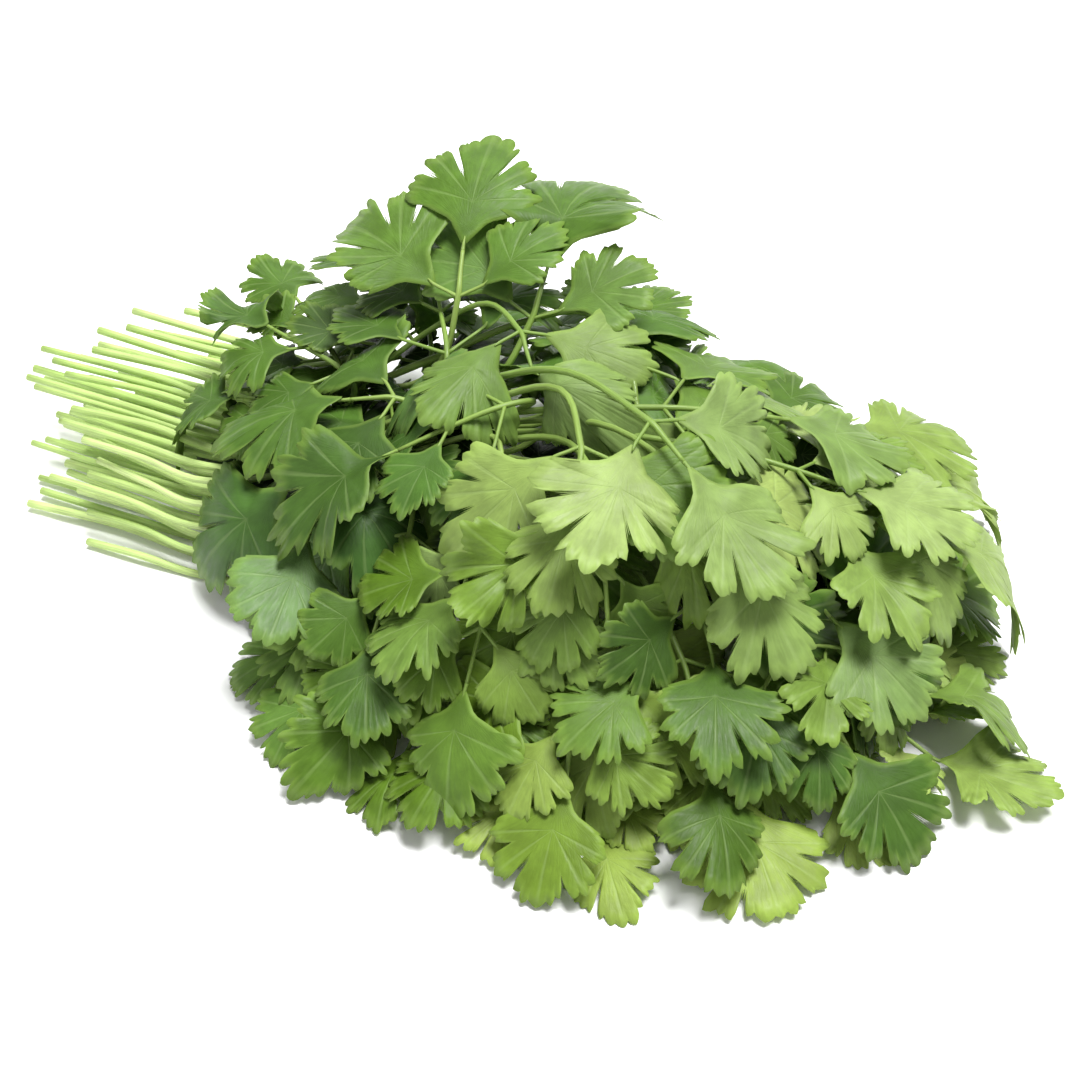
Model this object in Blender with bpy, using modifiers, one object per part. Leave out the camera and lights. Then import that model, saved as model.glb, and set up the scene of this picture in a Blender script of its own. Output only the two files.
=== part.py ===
"""A bunch of fresh coriander lying on its side, as cut: loose sprigs with no tie.

Each sprig is one piece that grew as one: a long round stalk and, near its end, leaflets on
side stalks of their own. The sprigs lie in tiers, one on another. Their stalks come together
at the neck, near the cut ends, and spread from there into a mound of leaves.
The frame: +X runs along the bunch from the cut ends to the leaf tips, +Z is up, and the
origin is on the surface that the bunch lies on, under the middle of its box.
"""

import math
import random
from types import SimpleNamespace

import bmesh
import bpy
from mathutils import Matrix, Vector
from mathutils.bvhtree import BVHTree

MM = 0.001

# ---------------------------------------------------------------- the plan of the bunch

# From the middle of the leaves, where the plan below is drawn, to the middle of the box.
PLAN_SHIFT = Vector((17.5, -11.0, 0.0)) * MM

# The neck: where the stalks pass closest together, in tiers. Each tier lies a little
# further to the left than the one under it.
NECK_X = -110.0 * MM
NECK_Y = 14.0 * MM
NECK_Y_STEP = 3.0 * MM
NECK_WIDTH = 80.0 * MM
FIRST_TIER_HEIGHT = 1.4 * MM
TIER_STEP = 7.0 * MM
TIER_WAVE = 1.2 * MM

# The cut ends: those in the middle of the bunch reach furthest.
CUT_X = -148.0 * MM
CUT_X_MIDDLE = 30.0 * MM
CUT_X_SPREAD = 13.0 * MM
# How far each cut end strays sideways and upwards from its place in its tier.
CUT_STRAY = 1.5 * MM
CUT_RISE = 2.4 * MM
# How wide each tier is at its cut ends, as a share of its width at the neck.
CUT_FANS = (1.04, 0.94, 1.0, 0.9, 0.96)
# Where the stalks of a tier would meet (mm), which sets their order across the neck.
MEETING_X = -150.0
MEETING_Y = 16.0

STALK_RADIUS = 1.25 * MM
NODE_RADIUS = 0.9 * MM
RACHIS_END_RADIUS = 0.6 * MM
STALK_STEPS = 5
RACHIS_STEPS = 2
RACHIS_DROOP = 0.08

LEAFLET_LENGTH = 32.0 * MM
BLADE_THICKNESS = 0.6 * MM
SIDE_STALK_WIDTH = 1.3 * MM
# How far a side stalk reaches past the middle of the stalk that it grows from.
SIDE_STALK_OVERLAP = 0.6 * MM

# A leaflet's plain outline, round the point where its veins part: angle from the tip
# (degrees) and distance, as a share of the leaflet's length. Its base closes it.
VEIN_CENTRE = 0.38
OUTLINE = ((0, 0.61), (58, 0.59), (-58, 0.59))

# Free room kept round every stalk and blade, and how far that room may sink into the floor.
STALK_ROOM = 0.35 * MM
BLADE_ROOM = 1.6 * MM
BLADE_MARGIN = 0.5 * MM
FLOOR_SINK = 0.35 * MM

# The search for a clear place: how many tries, and how far the tries spread.
STALK_TRIES = 500
LAST_LIFT = 60.0 * MM
LAST_SWAY = 40.0 * MM
LAST_RISE = 3.0 * MM
LEAFLET_TRIES = 60
FIRST_SWING = 8.0
LAST_SWING = 48.0
LAST_SHRINK = 0.3
MEAN_PITCH = -10.0
# How far a leaf may be moved out of its own plane to find room, in mm, in the order tried.
NODE_SHIFTS = (0.0, 3.0, -3.0, 6.0, -6.0, 9.0, 12.0)

LEAF_COLOURS = ((0.13, 0.27, 0.06), (0.08, 0.19, 0.06), (0.24, 0.42, 0.09))
LEAF_ROUGHNESS = 0.55

# Every sprig, tier by tier from the bottom: where its leaf starts to branch (x, y, z in mm),
# which way the leaf points (degrees: 0 is along the bunch, 90 is to the left of it), how far
# it is raised above level, its size and its kind.
TIERS = (
    (
        (-44, -43, 14, -96, -6, 0.8, "three"),
        (-14, -38, 12, -90, -8, 0.85, "five"),
        (14, -38, 12, -84, -8, 0.85, "five"),
        (38, -42, 12, -74, -8, 0.92, "five"),
        (60, -26, 12, -52, -8, 0.92, "five"),
        (76, -16, 12, -36, -8, 0.9, "five"),
        (94, -3, 12, -16, -8, 1.0, "five"),
        (80, 18, 14, 12, -8, 0.9, "five"),
        (76, 42, 14, 36, -8, 0.95, "five"),
        (46, 58, 14, 58, -8, 0.95, "five"),
        (-4, 64, 14, 88, -8, 0.9, "five"),
    ),
    (
        (-50, -26, 26, -100, -26, 0.85, "three"),
        (-26, -30, 26, -92, -28, 0.95, "five"),
        (2, -32, 28, -84, -28, 0.95, "five"),
        (28, -38, 28, -76, -28, 1.0, "five"),
        (52, -28, 28, -54, -28, 0.95, "five"),
        (76, -13, 28, -34, -26, 1.0, "five"),
        (86, 2, 30, -6, -22, 1.0, "five"),
        (76, 27, 32, 20, -14, 0.95, "five"),
        (64, 50, 34, 42, -6, 1.0, "five"),
        (30, 64, 34, 66, 0, 0.95, "three"),
        (-38, 64, 32, 104, 0, 0.9, "five"),
        (14, 6, 20, -40, -4, 0.9, "three"),
    ),
    (
        (-64, -11, 42, -78, -32, 1.15, "three"),
        (-30, -22, 44, -92, -32, 0.95, "five"),
        (0, -28, 46, -86, -32, 1.0, "five"),
        (28, -28, 46, -72, -32, 1.0, "five"),
        (54, -18, 46, -52, -30, 1.1, "three"),
        (76, 0, 48, -18, -22, 1.1, "three"),
        (76, 26, 52, 16, -8, 1.0, "five"),
        (52, 40, 50, 46, 4, 1.0, "five"),
        (20, 48, 46, 72, 6, 0.92, "five"),
        (-14, 50, 48, 92, 8, 0.88, "five"),
        (-58, 52, 44, 116, 10, 1.1, "small"),
    ),
    (
        (-8, -10, 62, -90, -30, 1.0, "five"),
        (22, -12, 62, -64, -28, 1.0, "five"),
        (46, -2, 66, -30, -22, 1.1, "three"),
        (14, -4, 76, -74, -22, 1.0, "three"),
        (29, 4, 80, -28, -16, 1.05, "three"),
        (52, 22, 68, 10, -8, 1.0, "five"),
        (28, 24, 76, 24, -4, 1.05, "five"),
        (30, 34, 59, 52, 2, 0.9, "five"),
        (0, 26, 68, 80, 8, 0.9, "five"),
        (-2, 42, 56, 88, 8, 0.9, "five"),
        (-46, 4, 56, -112, -22, 0.95, "three"),
    ),
    (
        (-76, 16, 44, -170, 6, 1.05, "small"),
        (-74, 24, 58, 165, 10, 1.1, "small"),
        (-66, 40, 58, 128, 14, 1.15, "small"),
        (-86, 40, 40, 140, 10, 1.1, "small"),
        (-46, 50, 73, 106, 38, 1.05, "three"),
        (-22, 48, 76, 92, 38, 1.05, "three"),
        (-42, 30, 70, 120, 12, 1.0, "five"),
        (-14, 8, 76, -140, -10, 1.0, "five"),
        (-50, 10, 66, -160, 0, 0.95, "three"),
        (-20, 34, 82, -52, -14, 0.95, "three"),
        (12, 40, 80, -58, -22, 1.0, "five"),
    ),
)

# The kinds of leaf. For each leaflet: how far along the leaf's own stalk (mm), side, its side
# stalk's length (mm), how far it turns out from the leaf's line (degrees), and size.
LEAF_KINDS = {
    "five": (
        (33.0, 0, 2.0, 0.0, 1.08),
        (0.0, 1, 15.0, 62.0, 0.95),
        (0.0, -1, 15.0, 62.0, 0.95),
        (17.0, 1, 6.5, 50.0, 0.78),
        (17.0, -1, 6.5, 50.0, 0.78),
    ),
    "three": (
        (14.0, 0, 2.0, 0.0, 1.15),
        (0.0, 1, 8.0, 66.0, 1.02),
        (0.0, -1, 8.0, 66.0, 1.02),
    ),
    "small": (
        (26.0, 0, 2.0, 0.0, 0.66),
        (0.0, 1, 9.0, 66.0, 0.64),
        (0.0, -1, 9.0, 66.0, 0.64),
        (14.0, 1, 4.0, 52.0, 0.58),
        (14.0, -1, 4.0, 52.0, 0.58),
    ),
}


def turned(heading, pitch, roll):
    """Axes as columns: along the leaf, to its left, and up out of its upper side."""
    return (
        Matrix.Rotation(math.radians(heading), 3, "Z")
        @ Matrix.Rotation(math.radians(-pitch), 3, "Y")
        @ Matrix.Rotation(math.radians(roll), 3, "X")
    )


def plan_sprigs():
    """Every sprig with its cut end, its place at the neck and its leaf's axes."""
    sprigs = []
    for tier, rows in enumerate(TIERS):
        across = sorted(rows, key=lambda row: (row[1] - MEETING_Y) / (row[0] - MEETING_X))
        middle = NECK_Y + NECK_Y_STEP * tier
        for slot, (x, y, z, heading, pitch, size, kind) in enumerate(across):
            number = len(sprigs) + 1
            dice = random.Random(number)
            share = (slot + 0.5) / len(across) - 0.5
            height = FIRST_TIER_HEIGHT + TIER_STEP * tier + TIER_WAVE * dice.random()
            neck_y = middle + NECK_WIDTH * share
            cut_y = middle + NECK_WIDTH * share * CUT_FANS[tier] + CUT_STRAY * dice.uniform(-1, 1)
            cut_x = CUT_X - CUT_X_MIDDLE * math.cos(math.pi * share) + CUT_X_SPREAD * dice.uniform(-1, 1)
            cut_z = height + CUT_RISE * dice.random()
            sprigs.append(
                SimpleNamespace(
                    name=f"sprig_{number:02d}",
                    number=number,
                    cut=PLAN_SHIFT + Vector((cut_x, cut_y, cut_z)),
                    neck=PLAN_SHIFT + Vector((NECK_X, neck_y, height)),
                    node=PLAN_SHIFT + Vector((x, y, z)) * MM,
                    axes=turned(heading, pitch, 0.0),
                    size=size,
                    girth=dice.uniform(0.82, 1.1),
                    rows=LEAF_KINDS[kind],
                    leaflets=[],
                )
            )
    return sprigs


def bezier(a, b, c, d, t):
    s = 1.0 - t
    return a * s**3 + b * (3 * s * s * t) + c * (3 * s * t * t) + d * t**3


def rachis_point(sprig, along):
    """A point on the leaf's own stalk, which droops a little on its way to the last leaflet."""
    length = sprig.rows[0][0]
    droop = RACHIS_DROOP * along * along / length
    return sprig.node + sprig.axes @ Vector((along, 0.0, -droop)) * MM * sprig.size


def stalk_route(sprig, lift, sway, rise):
    """(centre line, radii) from the cut end through the neck and the node to the last leaflet."""
    up = Vector((0.0, 0.0, rise))
    neck = sprig.neck + up
    reach = (sprig.node - neck).length
    first = neck + Vector((reach * 0.35, sway * 0.5, lift * 0.3))
    second = sprig.node - sprig.axes.col[0] * reach * 0.38 + Vector((0.0, sway, lift))
    points = [sprig.cut + up, neck]
    radii = [STALK_RADIUS, STALK_RADIUS]
    for i in range(1, STALK_STEPS + 1):
        t = i / STALK_STEPS
        points.append(bezier(neck, first, second, sprig.node, t))
        radii.append(STALK_RADIUS + (NODE_RADIUS - STALK_RADIUS) * t)
    for i in range(1, RACHIS_STEPS + 1):
        t = i / RACHIS_STEPS
        points.append(rachis_point(sprig, sprig.rows[0][0] * t))
        radii.append(NODE_RADIUS + (RACHIS_END_RADIUS - NODE_RADIUS) * t)
    return points, [radius * sprig.girth for radius in radii]


def plan_leaflet(sprig, row, dice, share):
    """One try at a leaflet: share 0 keeps near its natural place, share 1 strays furthest."""
    along, side, stalk, turn, size = row
    swing = FIRST_SWING + (LAST_SWING - FIRST_SWING) * share
    yaw = dice.uniform(-0.7, 0.7) * swing
    pitch = dice.uniform(-1, 1) * swing + MEAN_PITCH
    roll = dice.uniform(-1, 1) * swing
    foot = rachis_point(sprig, along)
    out = turned(side * turn + yaw * 0.5, pitch * 0.5, 0.0)
    return SimpleNamespace(
        foot=foot,
        base=foot + sprig.axes @ out.col[0] * stalk * MM * sprig.size,
        axes=sprig.axes @ turned(side * turn * 0.8 + yaw, pitch, roll),
        length=LEAFLET_LENGTH * size * sprig.size * (1.0 - LAST_SHRINK * share),
        width=dice.uniform(0.88, 1.08),
        droop=dice.uniform(0.05, 0.3),
        curl=dice.uniform(-0.1, 0.35),
        fold=dice.uniform(-0.1, 0.25),
    )


def blade_point(leaf, x, y):
    """A point of the blade's middle surface, x along and y across, as shares of its length."""
    fall = leaf.droop * x * x + leaf.curl * y * y - leaf.fold * math.hypot(y, 0.05)
    shortened = x * (1.0 - 0.3 * leaf.droop**2 * x * x)
    return leaf.base + leaf.axes @ Vector((shortened, y * leaf.width, -fall)) * leaf.length


def blade_corners(leaf, margin=0.0):
    """The blade's corners, anticlockwise from the tip, with its narrow base in the middle."""
    half_base = SIDE_STALK_WIDTH / 2 / leaf.length
    corners = []
    for angle, share in OUTLINE:
        a = math.radians(angle)
        reach = share + margin / leaf.length
        corners.append(blade_point(leaf, VEIN_CENTRE + reach * math.cos(a), reach * math.sin(a)))
    corners[2:2] = [blade_point(leaf, 0.0, half_base), blade_point(leaf, 0.0, -half_base)]
    return corners


# ------------------------------------------------------------------- settling the sprigs


def tube_room(points, radii):
    """(points, faces) of the six-sided room round a stalk."""
    sides = 6
    spots = []
    faces = []
    for i, at in enumerate(points):
        ahead = points[min(i + 1, len(points) - 1)] - points[max(i - 1, 0)]
        turn = ahead.to_track_quat("Z", "Y")
        for k in range(sides):
            a = math.tau * k / sides
            spots.append(at + turn @ Vector((math.cos(a), math.sin(a), 0.0)) * (radii[i] + STALK_ROOM))
    for i in range(len(spots) - sides):
        beside = i + 1 if (i + 1) % sides else i + 1 - sides
        faces.append((i, beside, beside + sides, i + sides))
    faces.append(tuple(range(sides)))
    faces.append(tuple(range(len(spots) - sides, len(spots))))
    return spots, faces


def side_stalk_room(leaf):
    half = SIDE_STALK_WIDTH / 2
    beyond = leaf.base + (leaf.base - leaf.foot).normalized() * MM
    return tube_room([leaf.foot, beyond], [half, half])


def blade_room(leaf):
    """(points, faces) of the room round a blade: a plate thicker and wider than it is."""
    half = leaf.axes.col[2] * BLADE_ROOM / 2
    middle = [blade_point(leaf, VEIN_CENTRE, 0.0), *blade_corners(leaf, BLADE_MARGIN)]
    count = len(middle)
    faces = []
    for i in range(1, count):
        following = i % (count - 1) + 1
        faces.append((0, i, following))
        faces.append((count, count + following, count + i))
        faces.append((i, count + i, count + following, following))
    return [p + half for p in middle] + [p - half for p in middle], faces


class Shape:
    """A closed shape that takes up room."""

    def __init__(self, owner, points, faces):
        self.owner = owner
        self.low = [min(p[k] for p in points) for k in range(3)]
        self.high = [max(p[k] for p in points) for k in range(3)]
        self.tree = BVHTree.FromPolygons(points, faces)

    def meets(self, other):
        apart = any(self.low[k] > other.high[k] or self.high[k] < other.low[k] for k in range(3))
        return not apart and bool(self.tree.overlap(other.tree))

    def fits(self, taken, own=None):
        """Whether it is clear of the floor and of all shapes but its owner's named ones."""
        above = self.low[2] >= -FLOOR_SINK
        return above and not any(self.meets(other) for other in taken if other.owner != own)


def fit_stalk(sprig, taken):
    """Bends the stalk a little more at each try until it is clear; (route, its room) or None."""
    dice = random.Random(sprig.number)
    for step in range(STALK_TRIES):
        share = step / STALK_TRIES
        lift = dice.uniform(-1, 1) * share * LAST_LIFT
        sway = dice.uniform(-1, 1) * share * LAST_SWAY
        rise = dice.uniform(-0.3, 1) * share * LAST_RISE
        route = stalk_route(sprig, lift, sway, rise)
        room = Shape(sprig.name + " stalks", *tube_room(*route))
        if room.fits(taken):
            return route, room
    return None


def fit_leaflets(sprig, taken):
    """Turns each leaflet a little more at each try until it is clear; adds to what is taken."""
    dice = random.Random(sprig.number)
    leaflets = []
    for row in sprig.rows:
        for step in range(LEAFLET_TRIES):
            leaf = plan_leaflet(sprig, row, dice, step / LEAFLET_TRIES)
            blade = Shape(sprig.name + " blades", *blade_room(leaf))
            stalk = Shape(sprig.name + " stalks", *side_stalk_room(leaf))
            if blade.fits(taken) and stalk.fits(taken, own=stalk.owner):
                leaflets.append(leaf)
                taken += [blade, stalk]
                break
    return leaflets


def shifted_nodes(sprig):
    """The places to try for the sprig's node, the planned one first."""
    return [sprig.node + sprig.axes.col[2] * shift * MM for shift in NODE_SHIFTS]


def settle_stalk(sprig, taken):
    for sprig.node in shifted_nodes(sprig):
        fitted = fit_stalk(sprig, taken)
        if fitted:
            return fitted[1]
    raise ValueError("there is no room for the stalk of " + sprig.name)


def settle_leaf(sprig, taken):
    """Keeps the place where most of the leaf fits; returns what is taken then."""
    others = [shape for shape in taken if shape.owner != sprig.name + " stalks"]
    most = -1.0
    for place in shifted_nodes(sprig):
        sprig.node = place
        fitted = fit_stalk(sprig, others)
        if not fitted:
            continue
        tried = others + [fitted[1]]
        leaflets = fit_leaflets(sprig, tried)
        area = sum(leaf.length**2 for leaf in leaflets)
        if area > most:
            most = area
            best = place, fitted[0], leaflets, tried
        if len(leaflets) == len(sprig.rows):
            break
    sprig.node, sprig.route, sprig.leaflets, taken = best
    return taken


def settled_bunch():
    """Every sprig in its final place, clear of all the others, from the bottom to the top."""
    sprigs = plan_sprigs()
    taken = []
    for sprig in sprigs:
        taken.append(settle_stalk(sprig, taken))
    for sprig in sprigs:
        taken = settle_leaf(sprig, taken)
    return sprigs


# ------------------------------------------------------------------------ making solids


def link_new(name, data, collection):
    made = bpy.data.objects.new(name, data)
    collection.objects.link(made)
    return made


def make_stalk(sprig, collection):
    """The sprig's long stalk: a tapered round tube, from a curve."""
    points, radii = sprig.route
    curve = bpy.data.curves.new(sprig.name, "CURVE")
    curve.dimensions = "3D"
    curve.bevel_depth = STALK_RADIUS
    curve.bevel_resolution = 1
    curve.use_fill_caps = True
    spline = curve.splines.new("POLY")
    spline.points.add(len(points) - 1)
    for knot, at, radius in zip(spline.points, points, radii):
        knot.co = (*at, 1.0)
        knot.radius = radius / STALK_RADIUS
    drawn = link_new(sprig.name + "_line", curve, collection)
    mesh = bpy.data.meshes.new_from_object(drawn.evaluated_get(bpy.context.evaluated_depsgraph_get()))
    bpy.data.objects.remove(drawn)
    bm = bmesh.new()
    bm.from_mesh(mesh)
    bmesh.ops.remove_doubles(bm, verts=bm.verts, dist=0.01 * MM)
    bm.to_mesh(mesh)
    bm.free()
    mesh.materials.append(make_material(sprig.name, LEAF_COLOURS[sprig.number % len(LEAF_COLOURS)]))
    return link_new(sprig.name, mesh, collection)


def make_leaflet(name, leaf, collection):
    """A leaflet: a fan of its corners, with its base drawn out into a side stalk."""
    corners = blade_corners(leaf)
    bm = bmesh.new()
    bmesh.ops.create_circle(bm, cap_ends=True, cap_tris=True, segments=len(corners), radius=1.0)
    middle = min(bm.verts, key=lambda vert: vert.co.length)
    rim = [vert for vert in bm.verts if vert is not middle]
    rim.sort(key=lambda vert: math.atan2(vert.co.y, vert.co.x) % math.tau)
    middle.co = blade_point(leaf, VEIN_CENTRE, 0.0)
    for vert, corner in zip(rim, corners):
        vert.co = corner
    drawn = bmesh.ops.extrude_edge_only(bm, edges=[bm.edges.get(rim[2:4])])
    ends = [item for item in drawn["geom"] if isinstance(item, bmesh.types.BMVert)]
    run = leaf.foot - leaf.base
    bmesh.ops.translate(bm, verts=ends, vec=run + run.normalized() * SIDE_STALK_OVERLAP)
    mesh = bpy.data.meshes.new(name)
    bm.to_mesh(mesh)
    bm.free()
    made = link_new(name, mesh, collection)
    thickness = made.modifiers.new("thickness", "SOLIDIFY")
    thickness.thickness = BLADE_THICKNESS
    thickness.offset = 0.0
    return made


def make_material(name, colour):
    material = bpy.data.materials.new(name)
    material.use_nodes = True
    shader = material.node_tree.nodes["Principled BSDF"]
    shader.inputs["Base Color"].default_value = (*colour, 1.0)
    shader.inputs["Roughness"].default_value = LEAF_ROUGHNESS
    shader.inputs["Metallic"].default_value = 0.0
    return material


def grow_leaflets(sprig, body, helpers):
    """Joins a sprig's leaflets to its stalk, which makes it one piece."""
    leaflets = bpy.data.collections.new(sprig.name + "_leaflets")
    helpers.children.link(leaflets)
    for i, leaf in enumerate(sprig.leaflets, 1):
        helper = make_leaflet(f"{sprig.name}_leaflet_{i}", leaf, leaflets)
        helper.hide_render = True
        helper.display_type = "WIRE"
    grown = body.modifiers.new("leaflets", "BOOLEAN")
    grown.operation = "UNION"
    grown.solver = "EXACT"
    grown.operand_type = "COLLECTION"
    grown.collection = leaflets


def main():
    for obj in list(bpy.data.objects):
        bpy.data.objects.remove(obj)
    bunch = bpy.data.collections.new("coriander_bunch")
    helpers = bpy.data.collections.new("leaflet_helpers")
    for collection in (bunch, helpers):
        bpy.context.scene.collection.children.link(collection)
    sprigs = settled_bunch()
    bodies = [make_stalk(sprig, bunch) for sprig in sprigs]
    for sprig, body in zip(sprigs, bodies):
        grow_leaflets(sprig, body, helpers)


main()
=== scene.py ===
"""The look of a bunch of fresh coriander lying on its side: lobed, toothed leaflets on thin
stalks, on a pale floor in soft light.

The sprigs are planned and settled by the same rules as the solids of the frame, so that each
visible sprig lies where its solid does.
"""

import math
import random
from types import SimpleNamespace

import bpy
from mathutils import Matrix, Vector
from mathutils.bvhtree import BVHTree


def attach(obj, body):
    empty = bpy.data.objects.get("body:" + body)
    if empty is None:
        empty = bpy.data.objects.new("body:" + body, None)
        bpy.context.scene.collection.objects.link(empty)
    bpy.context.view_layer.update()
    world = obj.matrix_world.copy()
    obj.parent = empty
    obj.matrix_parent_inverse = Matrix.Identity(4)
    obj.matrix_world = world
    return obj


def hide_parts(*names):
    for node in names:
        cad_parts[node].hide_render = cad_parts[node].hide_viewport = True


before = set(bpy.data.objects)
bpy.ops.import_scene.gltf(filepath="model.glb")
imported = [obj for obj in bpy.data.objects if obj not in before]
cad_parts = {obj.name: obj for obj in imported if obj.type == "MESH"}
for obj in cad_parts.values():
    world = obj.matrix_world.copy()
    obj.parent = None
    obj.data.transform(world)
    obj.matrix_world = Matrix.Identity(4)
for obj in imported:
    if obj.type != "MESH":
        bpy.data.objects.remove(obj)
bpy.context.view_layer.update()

MM = 0.001

# ---------------------------------------------------------------- the plan of the bunch

# From the middle of the leaves, where the plan below is drawn, to the middle of the box.
PLAN_SHIFT = Vector((17.5, -11.0, 0.0)) * MM

# The neck: where the stalks pass closest together, in tiers. Each tier lies a little
# further to the left than the one under it.
NECK_X = -110.0 * MM
NECK_Y = 14.0 * MM
NECK_Y_STEP = 3.0 * MM
NECK_WIDTH = 80.0 * MM
FIRST_TIER_HEIGHT = 1.4 * MM
TIER_STEP = 7.0 * MM
TIER_WAVE = 1.2 * MM

# The cut ends: those in the middle of the bunch reach furthest.
CUT_X = -148.0 * MM
CUT_X_MIDDLE = 30.0 * MM
CUT_X_SPREAD = 13.0 * MM
# How far each cut end strays sideways and upwards from its place in its tier.
CUT_STRAY = 1.5 * MM
CUT_RISE = 2.4 * MM
# How wide each tier is at its cut ends, as a share of its width at the neck.
CUT_FANS = (1.04, 0.94, 1.0, 0.9, 0.96)
# Where the stalks of a tier would meet (mm), which sets their order across the neck.
MEETING_X = -150.0
MEETING_Y = 16.0

STALK_RADIUS = 1.25 * MM
NODE_RADIUS = 0.9 * MM
RACHIS_END_RADIUS = 0.6 * MM
STALK_STEPS = 5
RACHIS_STEPS = 2
RACHIS_DROOP = 0.08

LEAFLET_LENGTH = 32.0 * MM
SIDE_STALK_WIDTH = 1.3 * MM

# A leaflet's plain outline, round the point where its veins part: angle from the tip
# (degrees) and distance, as a share of the leaflet's length. Its base closes it.
VEIN_CENTRE = 0.38
OUTLINE = ((0, 0.61), (58, 0.59), (-58, 0.59))

# Free room kept round every stalk and blade, and how far that room may sink into the floor.
STALK_ROOM = 0.35 * MM
BLADE_ROOM = 1.6 * MM
BLADE_MARGIN = 0.5 * MM
FLOOR_SINK = 0.35 * MM

# The search for a clear place: how many tries, and how far the tries spread.
STALK_TRIES = 500
LAST_LIFT = 60.0 * MM
LAST_SWAY = 40.0 * MM
LAST_RISE = 3.0 * MM
LEAFLET_TRIES = 60
FIRST_SWING = 8.0
LAST_SWING = 48.0
LAST_SHRINK = 0.3
MEAN_PITCH = -10.0
# How far a leaf may be moved out of its own plane to find room, in mm, in the order tried.
NODE_SHIFTS = (0.0, 3.0, -3.0, 6.0, -6.0, 9.0, 12.0)


# Every sprig, tier by tier from the bottom: where its leaf starts to branch (x, y, z in mm),
# which way the leaf points (degrees: 0 is along the bunch, 90 is to the left of it), how far
# it is raised above level, its size and its kind.
TIERS = (
    (
        (-44, -43, 14, -96, -6, 0.8, "three"),
        (-14, -38, 12, -90, -8, 0.85, "five"),
        (14, -38, 12, -84, -8, 0.85, "five"),
        (38, -42, 12, -74, -8, 0.92, "five"),
        (60, -26, 12, -52, -8, 0.92, "five"),
        (76, -16, 12, -36, -8, 0.9, "five"),
        (94, -3, 12, -16, -8, 1.0, "five"),
        (80, 18, 14, 12, -8, 0.9, "five"),
        (76, 42, 14, 36, -8, 0.95, "five"),
        (46, 58, 14, 58, -8, 0.95, "five"),
        (-4, 64, 14, 88, -8, 0.9, "five"),
    ),
    (
        (-50, -26, 26, -100, -26, 0.85, "three"),
        (-26, -30, 26, -92, -28, 0.95, "five"),
        (2, -32, 28, -84, -28, 0.95, "five"),
        (28, -38, 28, -76, -28, 1.0, "five"),
        (52, -28, 28, -54, -28, 0.95, "five"),
        (76, -13, 28, -34, -26, 1.0, "five"),
        (86, 2, 30, -6, -22, 1.0, "five"),
        (76, 27, 32, 20, -14, 0.95, "five"),
        (64, 50, 34, 42, -6, 1.0, "five"),
        (30, 64, 34, 66, 0, 0.95, "three"),
        (-38, 64, 32, 104, 0, 0.9, "five"),
        (14, 6, 20, -40, -4, 0.9, "three"),
    ),
    (
        (-64, -11, 42, -78, -32, 1.15, "three"),
        (-30, -22, 44, -92, -32, 0.95, "five"),
        (0, -28, 46, -86, -32, 1.0, "five"),
        (28, -28, 46, -72, -32, 1.0, "five"),
        (54, -18, 46, -52, -30, 1.1, "three"),
        (76, 0, 48, -18, -22, 1.1, "three"),
        (76, 26, 52, 16, -8, 1.0, "five"),
        (52, 40, 50, 46, 4, 1.0, "five"),
        (20, 48, 46, 72, 6, 0.92, "five"),
        (-14, 50, 48, 92, 8, 0.88, "five"),
        (-58, 52, 44, 116, 10, 1.1, "small"),
    ),
    (
        (-8, -10, 62, -90, -30, 1.0, "five"),
        (22, -12, 62, -64, -28, 1.0, "five"),
        (46, -2, 66, -30, -22, 1.1, "three"),
        (14, -4, 76, -74, -22, 1.0, "three"),
        (29, 4, 80, -28, -16, 1.05, "three"),
        (52, 22, 68, 10, -8, 1.0, "five"),
        (28, 24, 76, 24, -4, 1.05, "five"),
        (30, 34, 59, 52, 2, 0.9, "five"),
        (0, 26, 68, 80, 8, 0.9, "five"),
        (-2, 42, 56, 88, 8, 0.9, "five"),
        (-46, 4, 56, -112, -22, 0.95, "three"),
    ),
    (
        (-76, 16, 44, -170, 6, 1.05, "small"),
        (-74, 24, 58, 165, 10, 1.1, "small"),
        (-66, 40, 58, 128, 14, 1.15, "small"),
        (-86, 40, 40, 140, 10, 1.1, "small"),
        (-46, 50, 73, 106, 38, 1.05, "three"),
        (-22, 48, 76, 92, 38, 1.05, "three"),
        (-42, 30, 70, 120, 12, 1.0, "five"),
        (-14, 8, 76, -140, -10, 1.0, "five"),
        (-50, 10, 66, -160, 0, 0.95, "three"),
        (-20, 34, 82, -52, -14, 0.95, "three"),
        (12, 40, 80, -58, -22, 1.0, "five"),
    ),
)

# The kinds of leaf. For each leaflet: how far along the leaf's own stalk (mm), side, its side
# stalk's length (mm), how far it turns out from the leaf's line (degrees), and size.
LEAF_KINDS = {
    "five": (
        (33.0, 0, 2.0, 0.0, 1.08),
        (0.0, 1, 15.0, 62.0, 0.95),
        (0.0, -1, 15.0, 62.0, 0.95),
        (17.0, 1, 6.5, 50.0, 0.78),
        (17.0, -1, 6.5, 50.0, 0.78),
    ),
    "three": (
        (14.0, 0, 2.0, 0.0, 1.15),
        (0.0, 1, 8.0, 66.0, 1.02),
        (0.0, -1, 8.0, 66.0, 1.02),
    ),
    "small": (
        (26.0, 0, 2.0, 0.0, 0.66),
        (0.0, 1, 9.0, 66.0, 0.64),
        (0.0, -1, 9.0, 66.0, 0.64),
        (14.0, 1, 4.0, 52.0, 0.58),
        (14.0, -1, 4.0, 52.0, 0.58),
    ),
}


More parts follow.
